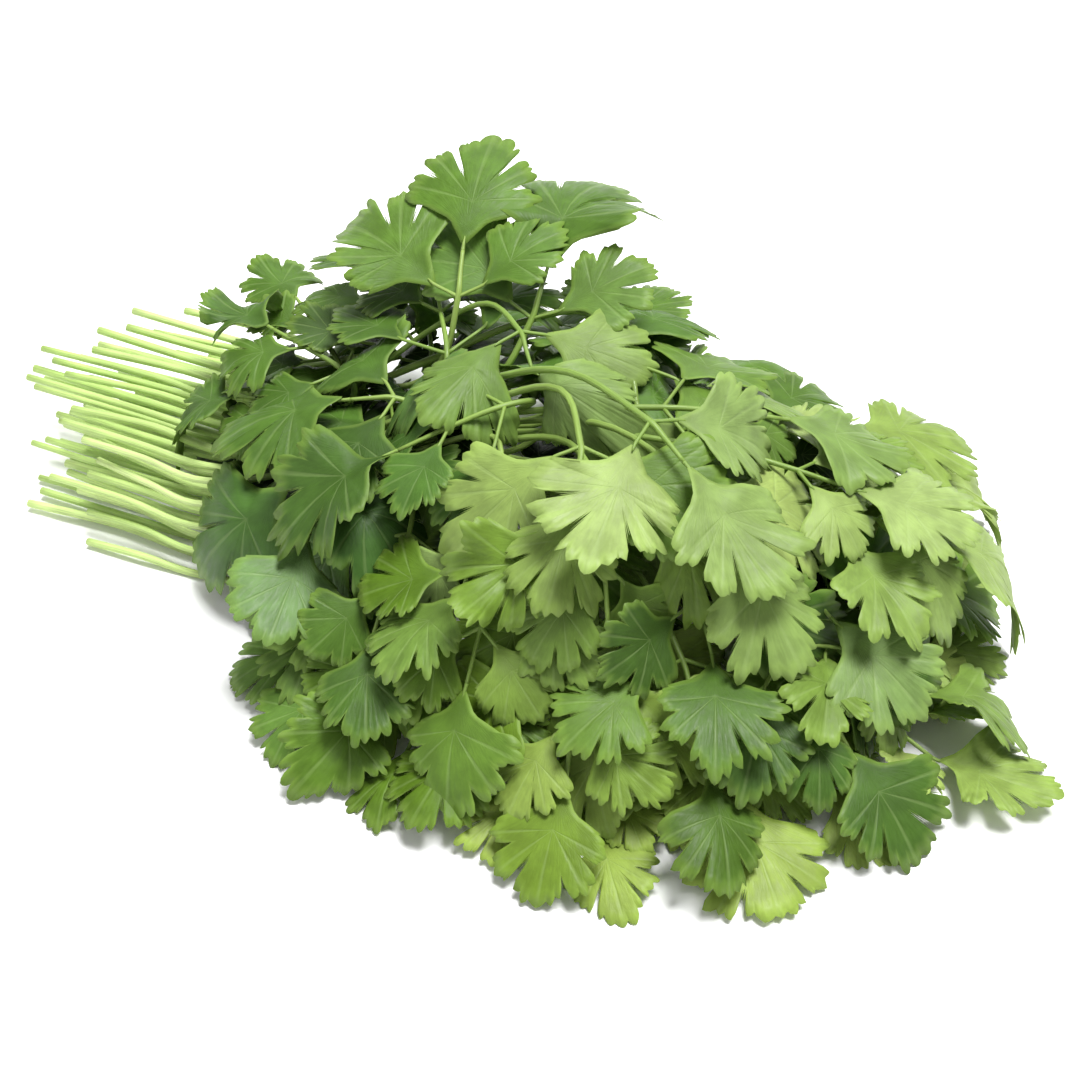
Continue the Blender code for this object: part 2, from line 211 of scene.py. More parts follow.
def turned(heading, pitch, roll):
    """Axes as columns: along the leaf, to its left, and up out of its upper side."""
    return (
        Matrix.Rotation(math.radians(heading), 3, "Z")
        @ Matrix.Rotation(math.radians(-pitch), 3, "Y")
        @ Matrix.Rotation(math.radians(roll), 3, "X")
    )


def plan_sprigs():
    """Every sprig with its cut end, its place at the neck and its leaf's axes."""
    sprigs = []
    for tier, rows in enumerate(TIERS):
        across = sorted(rows, key=lambda row: (row[1] - MEETING_Y) / (row[0] - MEETING_X))
        middle = NECK_Y + NECK_Y_STEP * tier
        for slot, (x, y, z, heading, pitch, size, kind) in enumerate(across):
            number = len(sprigs) + 1
            dice = random.Random(number)
            share = (slot + 0.5) / len(across) - 0.5
            height = FIRST_TIER_HEIGHT + TIER_STEP * tier + TIER_WAVE * dice.random()
            neck_y = middle + NECK_WIDTH * share
            cut_y = middle + NECK_WIDTH * share * CUT_FANS[tier] + CUT_STRAY * dice.uniform(-1, 1)
            cut_x = CUT_X - CUT_X_MIDDLE * math.cos(math.pi * share) + CUT_X_SPREAD * dice.uniform(-1, 1)
            cut_z = height + CUT_RISE * dice.random()
            sprigs.append(
                SimpleNamespace(
                    name=f"sprig_{number:02d}",
                    number=number,
                    cut=PLAN_SHIFT + Vector((cut_x, cut_y, cut_z)),
                    neck=PLAN_SHIFT + Vector((NECK_X, neck_y, height)),
                    node=PLAN_SHIFT + Vector((x, y, z)) * MM,
                    axes=turned(heading, pitch, 0.0),
                    size=size,
                    girth=dice.uniform(0.82, 1.1),
                    rows=LEAF_KINDS[kind],
                    leaflets=[],
                )
            )
    return sprigs


def bezier(a, b, c, d, t):
    s = 1.0 - t
    return a * s**3 + b * (3 * s * s * t) + c * (3 * s * t * t) + d * t**3


def rachis_point(sprig, along):
    """A point on the leaf's own stalk, which droops a little on its way to the last leaflet."""
    length = sprig.rows[0][0]
    droop = RACHIS_DROOP * along * along / length
    return sprig.node + sprig.axes @ Vector((along, 0.0, -droop)) * MM * sprig.size


def stalk_route(sprig, lift, sway, rise):
    """(centre line, radii) from the cut end through the neck and the node to the last leaflet."""
    up = Vector((0.0, 0.0, rise))
    neck = sprig.neck + up
    reach = (sprig.node - neck).length
    first = neck + Vector((reach * 0.35, sway * 0.5, lift * 0.3))
    second = sprig.node - sprig.axes.col[0] * reach * 0.38 + Vector((0.0, sway, lift))
    points = [sprig.cut + up, neck]
    radii = [STALK_RADIUS, STALK_RADIUS]
    for i in range(1, STALK_STEPS + 1):
        t = i / STALK_STEPS
        points.append(bezier(neck, first, second, sprig.node, t))
        radii.append(STALK_RADIUS + (NODE_RADIUS - STALK_RADIUS) * t)
    for i in range(1, RACHIS_STEPS + 1):
        t = i / RACHIS_STEPS
        points.append(rachis_point(sprig, sprig.rows[0][0] * t))
        radii.append(NODE_RADIUS + (RACHIS_END_RADIUS - NODE_RADIUS) * t)
    return points, [radius * sprig.girth for radius in radii]


def plan_leaflet(sprig, row, dice, share):
    """One try at a leaflet: share 0 keeps near its natural place, share 1 strays furthest."""
    along, side, stalk, turn, size = row
    swing = FIRST_SWING + (LAST_SWING - FIRST_SWING) * share
    yaw = dice.uniform(-0.7, 0.7) * swing
    pitch = dice.uniform(-1, 1) * swing + MEAN_PITCH
    roll = dice.uniform(-1, 1) * swing
    foot = rachis_point(sprig, along)
    out = turned(side * turn + yaw * 0.5, pitch * 0.5, 0.0)
    return SimpleNamespace(
        foot=foot,
        base=foot + sprig.axes @ out.col[0] * stalk * MM * sprig.size,
        axes=sprig.axes @ turned(side * turn * 0.8 + yaw, pitch, roll),
        length=LEAFLET_LENGTH * size * sprig.size * (1.0 - LAST_SHRINK * share),
        width=dice.uniform(0.88, 1.08),
        droop=dice.uniform(0.05, 0.3),
        curl=dice.uniform(-0.1, 0.35),
        fold=dice.uniform(-0.1, 0.25),
    )


def blade_point(leaf, x, y):
    """A point of the blade's middle surface, x along and y across, as shares of its length."""
    fall = leaf.droop * x * x + leaf.curl * y * y - leaf.fold * math.hypot(y, 0.05)
    shortened = x * (1.0 - 0.3 * leaf.droop**2 * x * x)
    return leaf.base + leaf.axes @ Vector((shortened, y * leaf.width, -fall)) * leaf.length


def blade_corners(leaf, margin=0.0):
    """The blade's corners, anticlockwise from the tip, with its narrow base in the middle."""
    half_base = SIDE_STALK_WIDTH / 2 / leaf.length
    corners = []
    for angle, share in OUTLINE:
        a = math.radians(angle)
        reach = share + margin / leaf.length
        corners.append(blade_point(leaf, VEIN_CENTRE + reach * math.cos(a), reach * math.sin(a)))
    corners[2:2] = [blade_point(leaf, 0.0, half_base), blade_point(leaf, 0.0, -half_base)]
    return corners


# ------------------------------------------------------------------- settling the sprigs


def tube_room(points, radii):
    """(points, faces) of the six-sided room round a stalk."""
    sides = 6
    spots = []
    faces = []
    for i, at in enumerate(points):
        ahead = points[min(i + 1, len(points) - 1)] - points[max(i - 1, 0)]
        turn = ahead.to_track_quat("Z", "Y")
        for k in range(sides):
            a = math.tau * k / sides
            spots.append(at + turn @ Vector((math.cos(a), math.sin(a), 0.0)) * (radii[i] + STALK_ROOM))
    for i in range(len(spots) - sides):
        beside = i + 1 if (i + 1) % sides else i + 1 - sides
        faces.append((i, beside, beside + sides, i + sides))
    faces.append(tuple(range(sides)))
    faces.append(tuple(range(len(spots) - sides, len(spots))))
    return spots, faces


def side_stalk_room(leaf):
    half = SIDE_STALK_WIDTH / 2
    beyond = leaf.base + (leaf.base - leaf.foot).normalized() * MM
    return tube_room([leaf.foot, beyond], [half, half])


def blade_room(leaf):
    """(points, faces) of the room round a blade: a plate thicker and wider than it is."""
    half = leaf.axes.col[2] * BLADE_ROOM / 2
    middle = [blade_point(leaf, VEIN_CENTRE, 0.0), *blade_corners(leaf, BLADE_MARGIN)]
    count = len(middle)
    faces = []
    for i in range(1, count):
        following = i % (count - 1) + 1
        faces.append((0, i, following))
        faces.append((count, count + following, count + i))
        faces.append((i, count + i, count + following, following))
    return [p + half for p in middle] + [p - half for p in middle], faces


class Shape:
    """A closed shape that takes up room."""

    def __init__(self, owner, points, faces):
        self.owner = owner
        self.low = [min(p[k] for p in points) for k in range(3)]
        self.high = [max(p[k] for p in points) for k in range(3)]
        self.tree = BVHTree.FromPolygons(points, faces)

    def meets(self, other):
        apart = any(self.low[k] > other.high[k] or self.high[k] < other.low[k] for k in range(3))
        return not apart and bool(self.tree.overlap(other.tree))

    def fits(self, taken, own=None):
        """Whether it is clear of the floor and of all shapes but its owner's named ones."""
        above = self.low[2] >= -FLOOR_SINK
        return above and not any(self.meets(other) for other in taken if other.owner != own)


def fit_stalk(sprig, taken):
    """Bends the stalk a little more at each try until it is clear; (route, its room) or None."""
    dice = random.Random(sprig.number)
    for step in range(STALK_TRIES):
        share = step / STALK_TRIES
        lift = dice.uniform(-1, 1) * share * LAST_LIFT
        sway = dice.uniform(-1, 1) * share * LAST_SWAY
        rise = dice.uniform(-0.3, 1) * share * LAST_RISE
        route = stalk_route(sprig, lift, sway, rise)
        room = Shape(sprig.name + " stalks", *tube_room(*route))
        if room.fits(taken):
            return route, room
    return None


def fit_leaflets(sprig, taken):
    """Turns each leaflet a little more at each try until it is clear; adds to what is taken."""
    dice = random.Random(sprig.number)
    leaflets = []
    for row in sprig.rows:
        for step in range(LEAFLET_TRIES):
            leaf = plan_leaflet(sprig, row, dice, step / LEAFLET_TRIES)
            blade = Shape(sprig.name + " blades", *blade_room(leaf))
            stalk = Shape(sprig.name + " stalks", *side_stalk_room(leaf))
            if blade.fits(taken) and stalk.fits(taken, own=stalk.owner):
                leaflets.append(leaf)
                taken += [blade, stalk]
                break
    return leaflets


def shifted_nodes(sprig):
    """The places to try for the sprig's node, the planned one first."""
    return [sprig.node + sprig.axes.col[2] * shift * MM for shift in NODE_SHIFTS]


def settle_stalk(sprig, taken):
    for sprig.node in shifted_nodes(sprig):
        fitted = fit_stalk(sprig, taken)
        if fitted:
            return fitted[1]
    raise ValueError("there is no room for the stalk of " + sprig.name)


def settle_leaf(sprig, taken):
    """Keeps the place where most of the leaf fits; returns what is taken then."""
    others = [shape for shape in taken if shape.owner != sprig.name + " stalks"]
    most = -1.0
    for place in shifted_nodes(sprig):
        sprig.node = place
        fitted = fit_stalk(sprig, others)
        if not fitted:
            continue
        tried = others + [fitted[1]]
        leaflets = fit_leaflets(sprig, tried)
        area = sum(leaf.length**2 for leaf in leaflets)
        if area > most:
            most = area
            best = place, fitted[0], leaflets, tried
        if len(leaflets) == len(sprig.rows):
            break
    sprig.node, sprig.route, sprig.leaflets, taken = best
    return taken


def settled_bunch():
    """Every sprig in its final place, clear of all the others, from the bottom to the top."""
    sprigs = plan_sprigs()
    taken = []
    for sprig in sprigs:
        taken.append(settle_stalk(sprig, taken))
    for sprig in sprigs:
        taken = settle_leaf(sprig, taken)
    return sprigs


# ----------------------------------------------------------------- the look of a leaflet

# The notches between a leaflet's teeth: angle from its tip (degrees) and depth as a share
# of the reach there. The deepest part the blade into three lobes, and the next the side ones.
NOTCHES = (
    (6, 0.09),
    (16, 0.13),
    (27, 0.48),
    (37, 0.10),
    (48, 0.14),
    (60, 0.34),
    (71, 0.11),
    (83, 0.12),
)
DEEP_NOTCH = 0.3
DEEPEST_CUT = 0.62
NOTCH_SWAY = 2.4
# A notch's depth and a tooth's reach vary between these shares of their usual ones.
NOTCH_SPREAD = (0.7, 1.3)
TOOTH_SPREAD = (0.93, 1.05)
# A deep notch opens into a narrow bay at its foot: half its width in degrees, and how much
# further out its sides are.
BAY_HALF_WIDTH = 1.8
BAY_FLARE = 1.04
# Where a tooth's points lie between its two notches (-1 to 1), and how far it falls off
# towards them: at least this, and more beside a deeper notch.
TOOTH_STEPS = (-0.76, -0.4, 0.0, 0.4, 0.76)
LOW_TOOTH_STEPS = (-0.6, 0.0, 0.6)
LEAST_FALL = 0.04
FALL_BY_DEPTH = 0.55
# From here the hollow sides narrow to the base: angle and reach.
WEDGE_ANGLE = 98
WEDGE_REACH = 0.42
WEDGE_HOLLOW = 0.22
WEDGE_STEPS = 5
BASE_ANGLE = 176
BASE_HALF_WIDTH = 0.018
# The blade's rings, from its middle to its edge, and how much of the reach no notch cuts.
RINGS = (0.28, 0.54, 0.75, 0.9, 1.0)
LOW_RINGS = (0.35, 0.7, 1.0)
UNCUT_SHARE = 0.66
LEAF_THICKNESS = 0.3 * MM
EDGE_THINNING = 0.5
# The lobes: middle and half width in degrees from the tip, how far each falls off to its
# sides, and its reach. The middle one's reach is the leaflet's own.
LOBES = ((0.0, 27.0, 0.16, 0.0), (43.0, 17.0, 0.13, 0.64), (77.0, 17.0, 0.15, 0.57))
LOBE_MIDDLES = (0.0, 43.0, -43.0, 76.0, -76.0)
MAIN_VEIN_WIDTH = 7.0
MIDDLE_RIB = 0.6
# How the blade bends, in shares of its length: waves round its edge, a rounded fold along
# its middle, a nod of its tip, a bend of each lobe and its sunken veins.
WAVE_COUNT = 3
WAVE_SIZES = (0.5, 1.0)
CURL_NEIGHBOURS = 5
CURL_SMOOTHING = 8
FOLD_ROUNDING = 0.06
NOD_FROM = 0.35
BEND_FROM = 0.12
BEND_SIZES = (-0.4, 1.0)
BEND_FALL = 2.6
VEIN_DEPTH = 0.003
# The least that a point may face the same way as its leaflet before its normal is mended.
LEAST_FACING = 0.15


def lobed_reach(angle, look):
    """How far the teeth reach at an angle from the tip: a long middle lobe and two side ones."""
    turn = abs(angle)
    for middle, half, fall, reach in LOBES:
        if turn < middle + half:
            break
    lean = 1.0 + look.lean * math.sin(math.radians(angle))
    return (reach or look.reach) * lean * (1.0 - fall * ((turn - middle) / half) ** 2)


def wedge_reach(angle):
    """How far the straight side reaches at an angle behind the last tooth."""
    turn = math.radians(abs(angle))
    last = math.radians(WEDGE_ANGLE)
    x, y = WEDGE_REACH * math.cos(last), WEDGE_REACH * math.sin(last)
    dx, dy = -VEIN_CENTRE - x, BASE_HALF_WIDTH - y
    straight = (x * dy - y * dx) / (math.cos(turn) * dy - math.sin(turn) * dx)
    share = (abs(angle) - WEDGE_ANGLE) / (BASE_ANGLE - WEDGE_ANGLE)
    return straight * (1.0 - WEDGE_HOLLOW * math.sin(math.pi * share))


def main_vein(angle):
    """1 on a lobe's main vein, 0 away from it."""
    return max(0.0, 1.0 - min(abs(angle - lobe) for lobe in LOBE_MIDDLES) / MAIN_VEIN_WIDTH)


def leaflet_outline(look, dice):
    """(angle, reach, how near a main vein) round the blade, from one side of its base."""
    cuts = []
    for side in (-1, 1):
        for angle, depth in NOTCHES:
            usual = depth * (look.cut if depth > DEEP_NOTCH else look.tooth)
            cut = min(usual * dice.uniform(*NOTCH_SPREAD), DEEPEST_CUT)
            cuts.append((side * angle + dice.uniform(-NOTCH_SWAY, NOTCH_SWAY), cut))
    cuts = [(-WEDGE_ANGLE, 0.0), *sorted(cuts), (WEDGE_ANGLE, 0.0)]
    columns = []
    for (start, start_depth), (end, end_depth) in zip(cuts, cuts[1:]):
        foot = lobed_reach(start, look) * (1.0 - start_depth)
        if start_depth > DEEP_NOTCH:
            columns.append((start - BAY_HALF_WIDTH, foot * BAY_FLARE, 0.0))
            columns.append((start + BAY_HALF_WIDTH, foot * BAY_FLARE, 0.0))
        columns.append((start, foot, 0.0))
        growth = dice.uniform(*TOOTH_SPREAD)
        for step in look.tooth_steps:
            angle = (start + end) / 2 + (end - start) / 2 * step
            fall = LEAST_FALL + FALL_BY_DEPTH * (start_depth if step < 0 else end_depth)
            reach = lobed_reach(angle, look) * growth * (1.0 - fall * abs(step) ** look.roundness)
            columns.append((angle, reach, main_vein(angle)))
    for i in range(WEDGE_STEPS + 1):
        angle = WEDGE_ANGLE + (BASE_ANGLE - WEDGE_ANGLE) * i / WEDGE_STEPS
        columns.append((angle, wedge_reach(angle), 0.0))
        if i:
            columns.append((-angle, wedge_reach(angle), 0.0))
    return sorted(columns)


class Growth:
    """Collects one sprig's mesh: its points, its faces and what its points are painted with."""

    def __init__(self):
        self.points = []
        self.faces = []
        self.materials = []
        self.paint = []
        self.place = []

    def add_point(self, point, paint, place):
        self.points.append(point)
        self.paint.append(paint)
        self.place.append(place)
        return len(self.points) - 1

    def add_face(self, corners, material):
        self.faces.append(corners)
        self.materials.append(material)


def nearness(degrees):
    """1 in the middle of a lobe, falling smoothly to 0 well beyond it."""
    return math.cos(math.radians(min(90.0, abs(degrees) * BEND_FALL))) ** 2


def blade_surface(leaf, look, outline, dice):
    """(centre, rings) of the blade's middle surface; a ring's entry is (point, place, rib)."""
    waves = [(dice.uniform(0.0, math.tau), dice.uniform(*WAVE_SIZES)) for _ in range(WAVE_COUNT)]
    bends = [(lobe, look.bend * dice.uniform(*BEND_SIZES)) for lobe in LOBE_MIDDLES]
    count = len(outline)
    loose = [dice.uniform(-1.0, 1.0) for _ in outline]
    near = range(-CURL_NEIGHBOURS, CURL_NEIGHBOURS + 1)
    curls = [sum(loose[(i + k) % count] for k in near) / CURL_SMOOTHING for i in range(count)]
    up = leaf.axes.col[2]
    centre = blade_point(leaf, VEIN_CENTRE, 0.0)
    rings = []
    for share in look.rings:
        ring = []
        for (degrees, reach, rib), curl in zip(outline, curls):
            whole = wedge_reach(degrees) if abs(degrees) >= WEDGE_ANGLE else lobed_reach(degrees, look)
            inner = min(reach, UNCUT_SHARE * whole)
            out = share * (inner + (reach - inner) * share**3)
            far = min(1.0, out / whole)
            turn = math.radians(degrees)
            x, y = VEIN_CENTRE + out * math.cos(turn), out * math.sin(turn)
            ripple = sum(size * math.sin((2 + i) * turn + at) for i, (at, size) in enumerate(waves))
            bend = sum(size * nearness(degrees - lobe) for lobe, size in bends)
            fold = math.hypot(y, FOLD_ROUNDING) - FOLD_ROUNDING
            lift = look.ripple * ripple * far**2 + look.curl * curl * far**4
            lift -= look.fold * fold + look.nod * max(0.0, x - NOD_FROM) ** 2
            lift -= bend * max(0.0, out - BEND_FROM) ** 2 + VEIN_DEPTH * rib * min(1.0, 2 * share)
            point = blade_point(leaf, x, y) + up * lift * leaf.length
            point.z = max(point.z, LEAF_THICKNESS)
            ring.append((point, (x, y, share), rib))
        rings.append(ring)
    return centre, rings


def surface_normals(centre, rings, up):
    """Which way the blade faces at every point of its rings."""
    count = len(rings[0])
    normals = []
    for r, ring in enumerate(rings):
        row = []
        for i in range(count):
            inner = rings[r - 1][i][0] if r else centre
            outer = rings[min(r + 1, len(rings) - 1)][i][0]
            around = ring[(i + 1) % count][0] - ring[i - 1][0]
            normal = (outer - inner).cross(around).normalized()
            row.append(normal if normal.dot(up) > LEAST_FACING else (normal + up).normalized())
        normals.append(row)
    return normals


def grow_blade(growth, blade):
    """Adds a leaflet's thin blade, with teeth, veins and a wavy edge."""
    centre, rings, look = blade.centre, blade.rings, blade.look
    count = len(rings[0])
    up = blade.leaf.axes.col[2]
    normals = surface_normals(centre, rings, up)
    rims = []
    for side in (1, -1):
        under = 0.0 if side > 0 else 1.0
        half = side * LEAF_THICKNESS / 2
        paint = (look.tone, look.hue, under, MIDDLE_RIB)
        middle = growth.add_point(centre + up * half, paint, (VEIN_CENTRE, 0.0, 0.0))
        first = middle + 1
        for ring, row in zip(rings, normals):
            for (point, place, rib), normal in zip(ring, row):
                thin = EDGE_THINNING if place[2] == 1.0 else 1.0
                growth.add_point(point + normal * half * thin, (*paint[:3], rib), place)
        for i in range(count):
            j = (i + 1) % count
            corners = [(middle, first + i, first + j)]
            for r in range(len(rings) - 1):
                a, b = first + r * count + i, first + r * count + j
                corners.append((a, a + count, b + count, b))
            for face in corners:
                growth.add_face(face[::side], LEAF)
        rims.append(first + (len(rings) - 1) * count)
    top, low = rims
    for i in range(count):
        j = (i + 1) % count
        growth.add_face((top + j, top + i, low + i, low + j), LEAF)


def grow_tube(growth, points, radii, sides, paints):
    """Adds a round stalk along a line of points, closed at both ends."""
    first = len(growth.points)
    aside = (points[1] - points[0]).orthogonal()
    along = 0.0
    last = len(points) - 1
    for i, at in enumerate(points):
        ahead = (points[min(i + 1, last)] - points[max(i - 1, 0)]).normalized()
        aside = (aside - ahead * aside.dot(ahead)).normalized()
        other = ahead.cross(aside)
        along += (at - points[i - 1]).length if i else 0.0
        for k in range(sides):
            turn = math.tau * k / sides
            spoke = aside * math.cos(turn) + other * math.sin(turn)
            place = (math.cos(turn), math.sin(turn), along / MM)
            growth.add_point(at + spoke * radii[i], paints[i], place)
    for i in range(last):
        for k in range(sides):
            a, b = first + i * sides + k, first + i * sides + (k + 1) % sides
            growth.add_face((a, b, b + sides, a + sides), STALK)
    start = growth.add_point(points[0], (*paints[0][:3], 1.0), (0.0, 0.0, 0.0))
    end = growth.add_point(points[last], paints[last], (0.0, 0.0, along / MM))
    final = first + last * sides
    for k in range(sides):
        following = (k + 1) % sides
        growth.add_face((start, first + following, first + k), STALK)
        growth.add_face((end, final + k, final + following), STALK)


def smooth_line(points, values, steps):
    """A smooth line through the points, and the values that go with it."""
    line = []
    along = []
    last = len(points) - 1
    for i in range(last):
        before, after = points[max(i - 1, 0)], points[min(i + 2, last)]
        a, b = points[i], points[i + 1]
        reach = (b - a).length / 3
        leave = a + (b - before).normalized() * reach
        arrive = b - (after - a).normalized() * reach
        for k in range(steps):
            t = k / steps
            line.append(bezier(a, leave, arrive, b, t))
            along.append(values[i] + (values[i + 1] - values[i]) * t)
    return [*line, points[last]], [*along, values[last]]


# --------------------------------------------------------------------- growing the sprigs

# The two materials of a sprig's mesh, by their place in its list.
LEAF, STALK = 0, 1
# A stalk's mesh, how far its free end is bowed and where along it, and how pale it is.
STALK_SIDES = 8
STALK_SMOOTHING = 5
STALK_SWAY = 1.6 * MM
STALK_SWAY_PLACE = 0.55
STALK_TONES = (0.2, 0.9)
# A side stalk's mesh, its radius along it, and how far it reaches into the blade.
SIDE_STALK_SIDES = 6
SIDE_STALK_SMOOTHING = 3
SIDE_STALK_RADIUS = 0.55 * MM
SIDE_STALK_SHAPE = (1.2, 1.0, 1.0, 0.4)
SIDE_STALK_INSIDE = 0.07
# Where the seeds of a sprig's random draws start, so that no two kinds of draw share one.
LOOKS_PER_SPRIG = 100
SHAPES_PER_SPRIG = 50
SWAY_SEEDS = 300
STALK_TONE_SEEDS = 400
LOW_LEAF_SEEDS = 900
# How much larger than the plain leaflets the fine ones are, and how far their bends are
# calmed, in the order tried.
LEAF_GROWTHS = (1.12, 1.04, 0.96)
CALMING = (1.25, 1.0, 0.7, 0.4, 0.15)
BENDS = ("ripple", "curl", "bend", "fold", "nod")
FLAT_ON_FLOOR = 1.1 * LEAF_THICKNESS
# The small leaves low on the stalks: where along the stalk, how far they stray from there,
# between which bounds, and how many points of their edge have to lie under other leaves.
LOW_LEAF_PLACES = (0.32, 0.41, 0.5, 0.59, 0.68, 0.77, 0.86)
LOW_LEAF_STRAY = 0.05
LOW_LEAF_FROM = -70.0 * MM
LOW_LEAF_TOP = 74.0 * MM
LOW_LEAF_BOTTOM = 5.0 * MM
# The low leaves' tone: the darkest, as painted shade, for they lie under other leaves.
LOW_LEAF_SHADE_TONE = 0.0
LOW_LEAF_TRIES = 7
ROOFED_POINTS = 5
# A leaflet's tone runs from LEAST_TONE up by TONE_RANGE of its sprig's own, and strays.
LEAST_TONE = 0.18
TONE_RANGE = 0.74
TONE_SPREAD = 0.16
HUE_SPREAD = 0.1
# Each sprig's green, in the order of their numbers: tone and hue, as in leaflet_look. The
# tones are partly the leaves' own greens and partly painted light and shade: sprigs that lie
# in shade in the bunch are darker, and lit ones brighter.
SPRIG_LOOKS = (
    (0.6, 0.35), (0.5, 0.75), (0.85, 0.95), (0.9, 0.95), (0.7, 0.8), (0.75, 0.8),
    (0.95, 0.7), (0.6, 0.5), (0.75, 0.65), (0.6, 0.5), (0.35, 0.35),
    (0.35, 0.3), (0.4, 0.55), (0.45, 0.7), (0.6, 0.8), (0.35, 0.5), (0.15, 0.3),
    (0.2, 0.4), (0.8, 0.6), (0.5, 0.4), (0.8, 0.6), (0.35, 0.4), (0.3, 0.35),
    (0.35, 0.3), (0.42, 0.05), (0.45, 0.6), (0.6, 0.7), (0.14, 0.3), (0.5, 0.15),
    (0.85, 0.5), (0.75, 0.6), (0.4, 0.35), (0.4, 0.35), (0.12, 0.3),
    (0.6, 0.45), (0.7, 0.6), (0.65, 0.5), (0.25, 0.2), (0.95, 0.5), (0.85, 0.4),
    (0.95, 0.45), (0.5, 0.4), (0.35, 0.35), (0.45, 0.4), (0.35, 0.35),
    (0.2, 0.25), (0.3, 0.2), (0.15, 0.35), (0.12, 0.3), (0.12, 0.3), (0.75, 0.35),
    (0.6, 0.4), (0.5, 0.35), (0.12, 0.35), (0.55, 0.4), (0.15, 0.35),
)


def leaflet_look(sprig, index):
    """How a leaflet is coloured and curled: tone 0 dark to 1 bright, hue 0 bluish to 1 yellow."""
    dice = random.Random(sprig.number * LOOKS_PER_SPRIG + index)
    tone, hue = SPRIG_LOOKS[sprig.number - 1]
    low = index >= len(sprig.leaflets)
    # Low leaves lie under other leaves, so they get the darkest tone: painted shade.
    if low:
        tone = LOW_LEAF_SHADE_TONE
    else:
        tone = LEAST_TONE + TONE_RANGE * tone + TONE_SPREAD * dice.uniform(-1, 1)
    return SimpleNamespace(
        seed=sprig.number * SHAPES_PER_SPRIG + index,
        tone=max(0.0, min(1.0, tone)),
        hue=max(0.0, min(1.0, hue + HUE_SPREAD * dice.uniform(-1, 1))),
        ripple=dice.uniform(0.012, 0.04),
        curl=dice.uniform(0.05, 0.16),
        bend=dice.uniform(0.3, 2.4),
        cut=dice.choice((0.5, 0.85, 1.0, 1.1, 1.2)),
        tooth=dice.choice((0.55, 0.75, 1.0)),
        roundness=dice.choice((1.2, 1.6, 2.2)),
        lean=dice.uniform(-0.14, 0.14),
        fold=dice.choice((-0.25, -0.1, 0.1, 0.25, 0.55)) + dice.uniform(0.0, 0.1),
        nod=dice.choice((-0.4, 0.1, 0.4, 0.8, 1.4)),
        tooth_steps=LOW_TOOTH_STEPS if low else TOOTH_STEPS,
        rings=LOW_RINGS if low else RINGS,
        reach=dice.uniform(0.64, 0.76),
    )


def shaped_blade(leaf, look, grown, calm):
    """A leaflet's surface, grown by one factor and with its bends calmed by another."""
    leaf = SimpleNamespace(**{**vars(leaf), "length": leaf.length * grown})
    look = SimpleNamespace(**{**vars(look), **{name: getattr(look, name) * calm for name in BENDS}})
    dice = random.Random(look.seed)
    outline = leaflet_outline(look, dice)
    centre, rings = blade_surface(leaf, look, outline, dice)
    count = len(outline)
    points = [centre] + [entry[0] for ring in rings for entry in ring]
    faces = [(0, 1 + i, 1 + (i + 1) % count) for i in range(count)]
    for r in range(len(rings) - 1):
        for i in range(count):
            a, b = 1 + r * count + i, 1 + r * count + (i + 1) % count
            faces.append((a, a + count, b + count, b))
    shape = Shape("blade", points, faces)
    return SimpleNamespace(leaf=leaf, look=look, centre=centre, rings=rings, shape=shape)


def lies_free(blade, blades):
    """Whether a blade cuts through no other and is not pressed flat on the floor."""
    above = blade.shape.low[2] > FLAT_ON_FLOOR
    return above and not any(blade.shape.meets(other.shape) for other in blades)


def settled_blade(leaf, look, blades):
    """Calms the blade's bends, and then keeps it smaller, until it lies free.

    Where nothing frees it, the calmest and smallest one is taken and cuts through a neighbour.
    """
    for grown in LEAF_GROWTHS:
        for calm in CALMING:
            blade = shaped_blade(leaf, look, grown, calm)
            if lies_free(blade, blades):
                return blade
    return blade


def covers(shape, point):
    """Whether some of the shape lies straight above the point."""
    if any(not shape.low[k] <= point[k] <= shape.high[k] for k in (0, 1)) or shape.high[2] <= point.z:
        return False
    return shape.tree.ray_cast(point, Vector((0, 0, 1)))[0] is not None


def roofed(blade, blades):
    """Whether other leaves lie above a blade's middle and above points all round its edge."""
    rim = blade.rings[-1]
    points = [blade.centre] + [rim[i][0] for i in range(0, len(rim), len(rim) // ROOFED_POINTS)]
    return all(any(covers(other.shape, point) for other in blades) for point in points)


def low_leaf(foot, dice):
    """A small leaf on a short side stalk that leaves the stalk in any direction."""
    way = turned(dice.uniform(-180, 180), dice.uniform(-10, 40), dice.uniform(-30, 30))
    base = foot + way.col[0] * dice.uniform(4, 12) * MM
    base.z = max(base.z, LOW_LEAF_BOTTOM)
    return SimpleNamespace(
        foot=foot,
        base=base,
        axes=way,
        length=dice.uniform(16, 25) * MM,
        width=dice.uniform(0.85, 1.05),
        droop=dice.uniform(0.0, 0.2),
        curl=dice.uniform(-0.1, 0.3),
        fold=dice.uniform(-0.1, 0.25),
    )


def low_blades(sprig, blades):
    """The small leaves lower down on the stalk, under the outer ones, where they have room."""
    dice = random.Random(sprig.number + LOW_LEAF_SEEDS)
    found = []
    for share in LOW_LEAF_PLACES:
        for _ in range(LOW_LEAF_TRIES):
            place = share + dice.uniform(-LOW_LEAF_STRAY, LOW_LEAF_STRAY)
            foot = sprig.line[int(len(sprig.line) * place)]
            if foot.x < LOW_LEAF_FROM or foot.z > LOW_LEAF_TOP:
                continue
            look = leaflet_look(sprig, len(sprig.leaflets) + len(found))
            blade = shaped_blade(low_leaf(foot, dice), look, 1.0, 1.0)
            if roofed(blade, blades) and lies_free(blade, blades + found):
                found.append(blade)
                break
    return found


